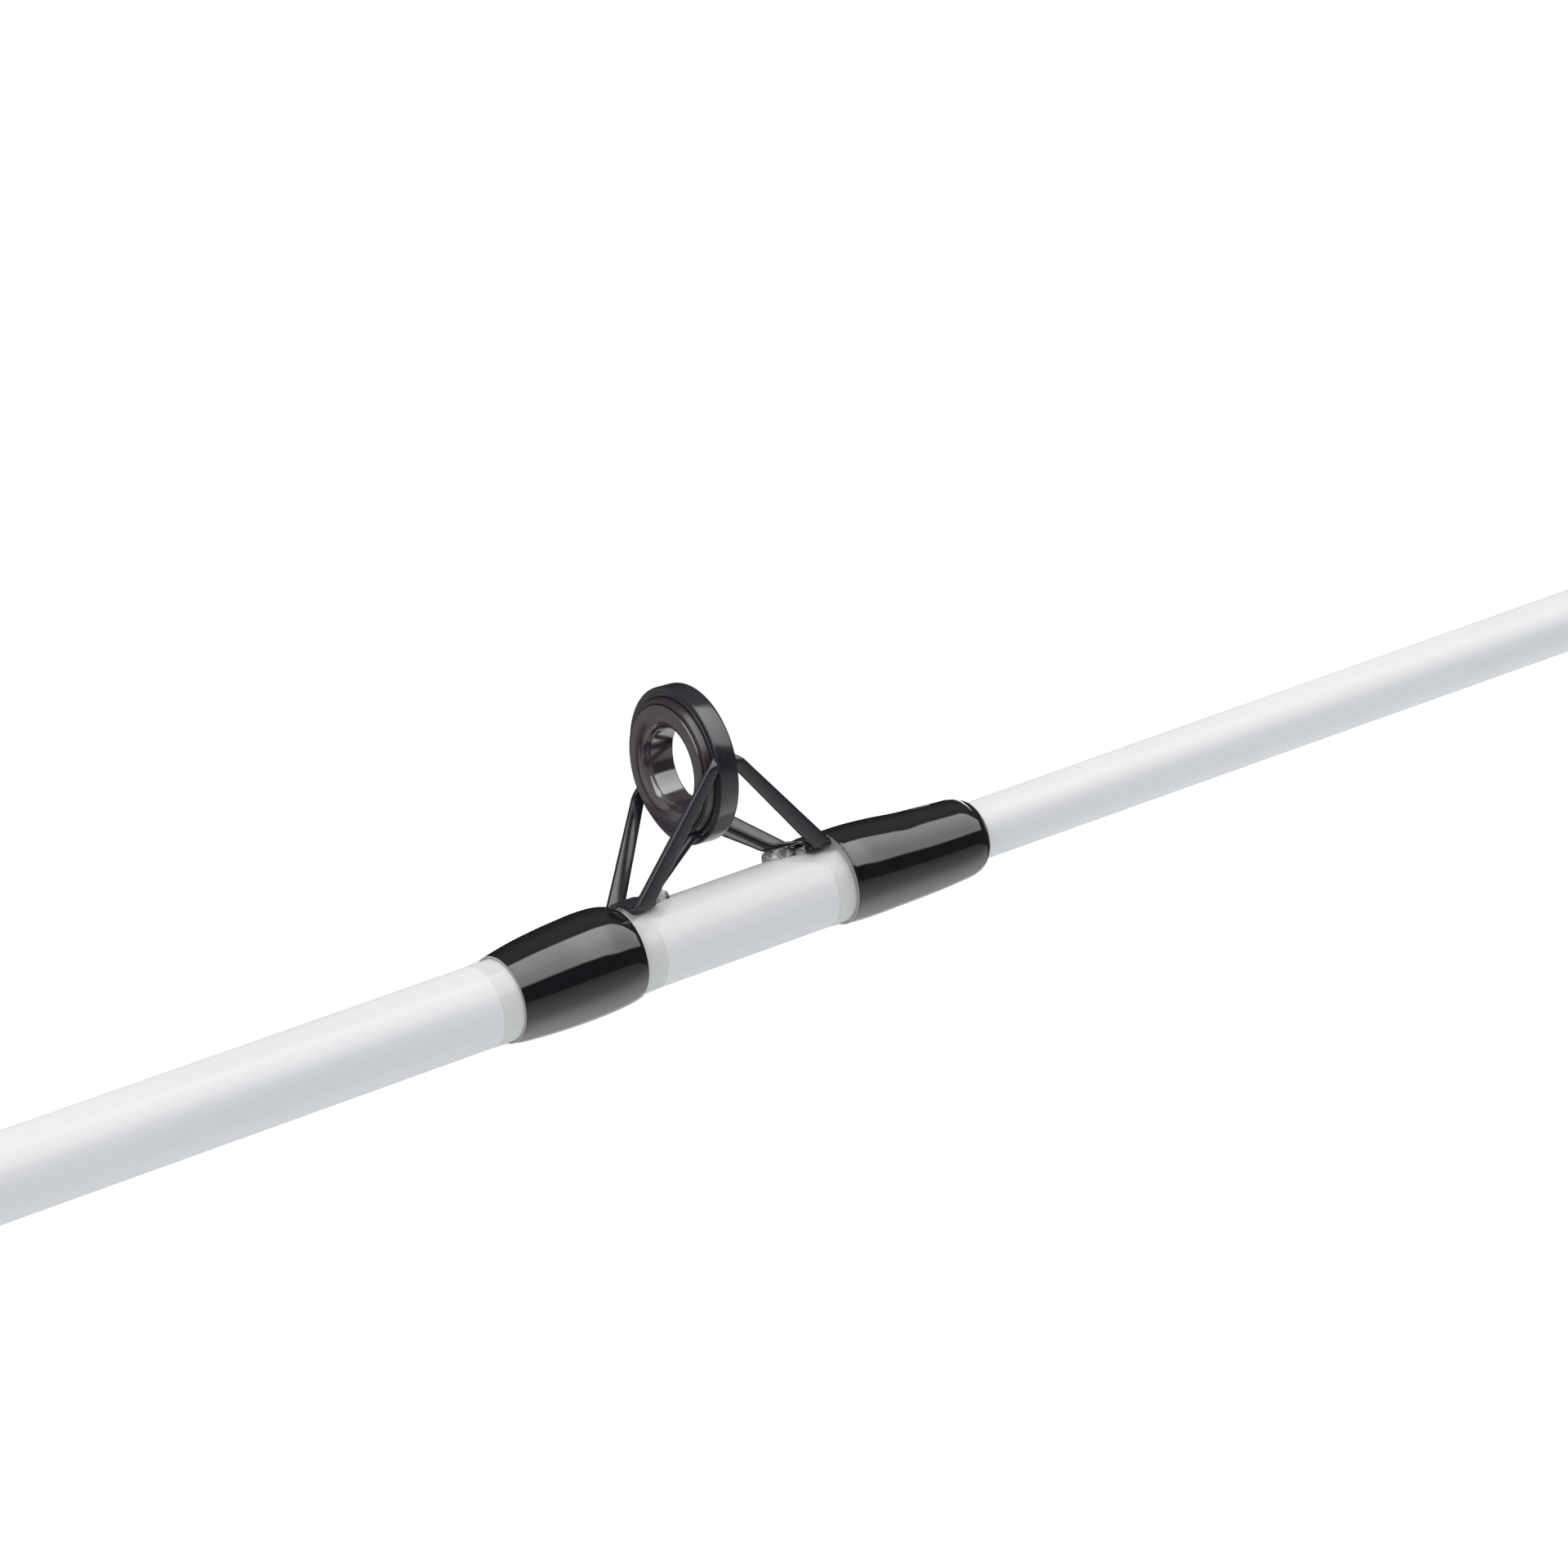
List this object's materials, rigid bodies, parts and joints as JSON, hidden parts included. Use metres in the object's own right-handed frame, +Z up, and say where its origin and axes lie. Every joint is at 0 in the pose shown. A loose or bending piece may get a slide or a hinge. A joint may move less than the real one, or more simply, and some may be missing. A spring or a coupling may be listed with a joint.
{
  "type": "fishing rod",
  "caption": "Boat fishing rod in two sections with a put-in ferrule, black ringed line guides on thread wraps, foam grips and a screw-down reel seat.",
  "frame": {"origin": "centre of the butt cap's end face", "axes": "+X along the rod to the tip; +Z up through the line guides and the reel seat's foot bed"},
  "size_m": [1.8376, 0.031, 0.0513],
  "materials": {
    "white_blank": "clear-coated white paint on fibreglass, glossy",
    "black_wrap": "black thread under glossy clear resin",
    "clear_resin": "clear, glossy, faintly warm",
    "guide_steel": "black-plated pressed steel, satin",
    "shock_ring": "black moulded, satin",
    "ceramic": "dark grey-brown, polished",
    "foam_grip": "closed-cell EVA foam, matt",
    "rubber_cap": "moulded rubber, matt",
    "nock_aluminium": "turned, satin",
    "trim_metal": "anodised, bright",
    "seat_nylon": "glass-filled nylon, satin",
    "nut_nylon": "moulded nylon, satin",
    "arbor_foam": "rigid foam, matt"
  },
  "bodies": {
    "butt_section": {"butt_blank": "white_blank", "gimbal_nock": "nock_aluminium", "rear_grip": "foam_grip", "seat_ring": "trim_metal", "seat_barrel": "seat_nylon", "seat_arbors": "arbor_foam", "fixed_hood": "seat_nylon", "foregrip": "foam_grip", "winding_check": "trim_metal", "trim_wrap": "black_wrap", "guide_20_frame": "guide_steel", "guide_20_shock_ring": "shock_ring", "guide_20_ring": "ceramic", "guide_20_wraps": "black_wrap", "guide_16_frame": "guide_steel", "guide_16_shock_ring": "shock_ring", "guide_16_ring": "ceramic", "guide_16_wrap": "black_wrap", "ferrule_wrap": "black_wrap", "guide_16_coats": "clear_resin"},
    "tip_section": {"tip_blank": "white_blank", "tip_top_wrap": "black_wrap", "tip_wraps": "black_wrap", "tip_top_frame": "guide_steel", "tip_top_shock_ring": "shock_ring", "tip_top_ring": "ceramic", "guide_12_frame": "guide_steel", "guide_12_shock_ring": "shock_ring", "guide_12_ring": "ceramic", "guide_11_frame": "guide_steel", "guide_11_shock_ring": "shock_ring", "guide_11_ring": "ceramic", "guide_10_frame": "guide_steel", "guide_10_shock_ring": "shock_ring", "guide_10_ring": "ceramic", "guide_10_front_frame": "guide_steel", "guide_10_front_shock_ring": "shock_ring", "guide_10_front_ring": "ceramic"},
    "sliding_hood": {"sliding_hood": "seat_nylon"},
    "hood_nut": {"hood_nut": "nut_nylon"},
    "lock_nut": {"lock_nut": "nut_nylon"},
    "butt_cap": {"butt_cap": "rubber_cap"}
  },
  "joints": [
    {"name": "ferrule_pull", "type": "slide", "parent": "butt_section", "child": "tip_section", "axis": [1, 0, 0], "range_m": [0, 0.07]},
    {"name": "hood_travel", "type": "slide", "parent": "butt_section", "child": "sliding_hood", "axis": [1, 0, 0], "range_m": [-0.0161, 0.0201]},
    {"name": "hood_nut_turn", "type": "hinge", "parent": "sliding_hood", "child": "hood_nut", "pos_m": [0.3816, 0, 0], "axis": [1, 0, 0], "range_deg": [-2880, 3600]},
    {"name": "lock_nut_turn", "type": "hinge", "parent": "hood_nut", "child": "lock_nut", "pos_m": [0.3919, 0, 0], "axis": [1, 0, 0], "range_deg": [0, 90]},
    {"name": "butt_cap_pull", "type": "slide", "parent": "butt_section", "child": "butt_cap", "axis": [-1, 0, 0], "range_m": [0, 0.034]}
  ],
  "couplings": [
    {"joint": "hood_travel", "follows": "hood_nut_turn", "m_per_rad": 0.00031831}
  ]
}
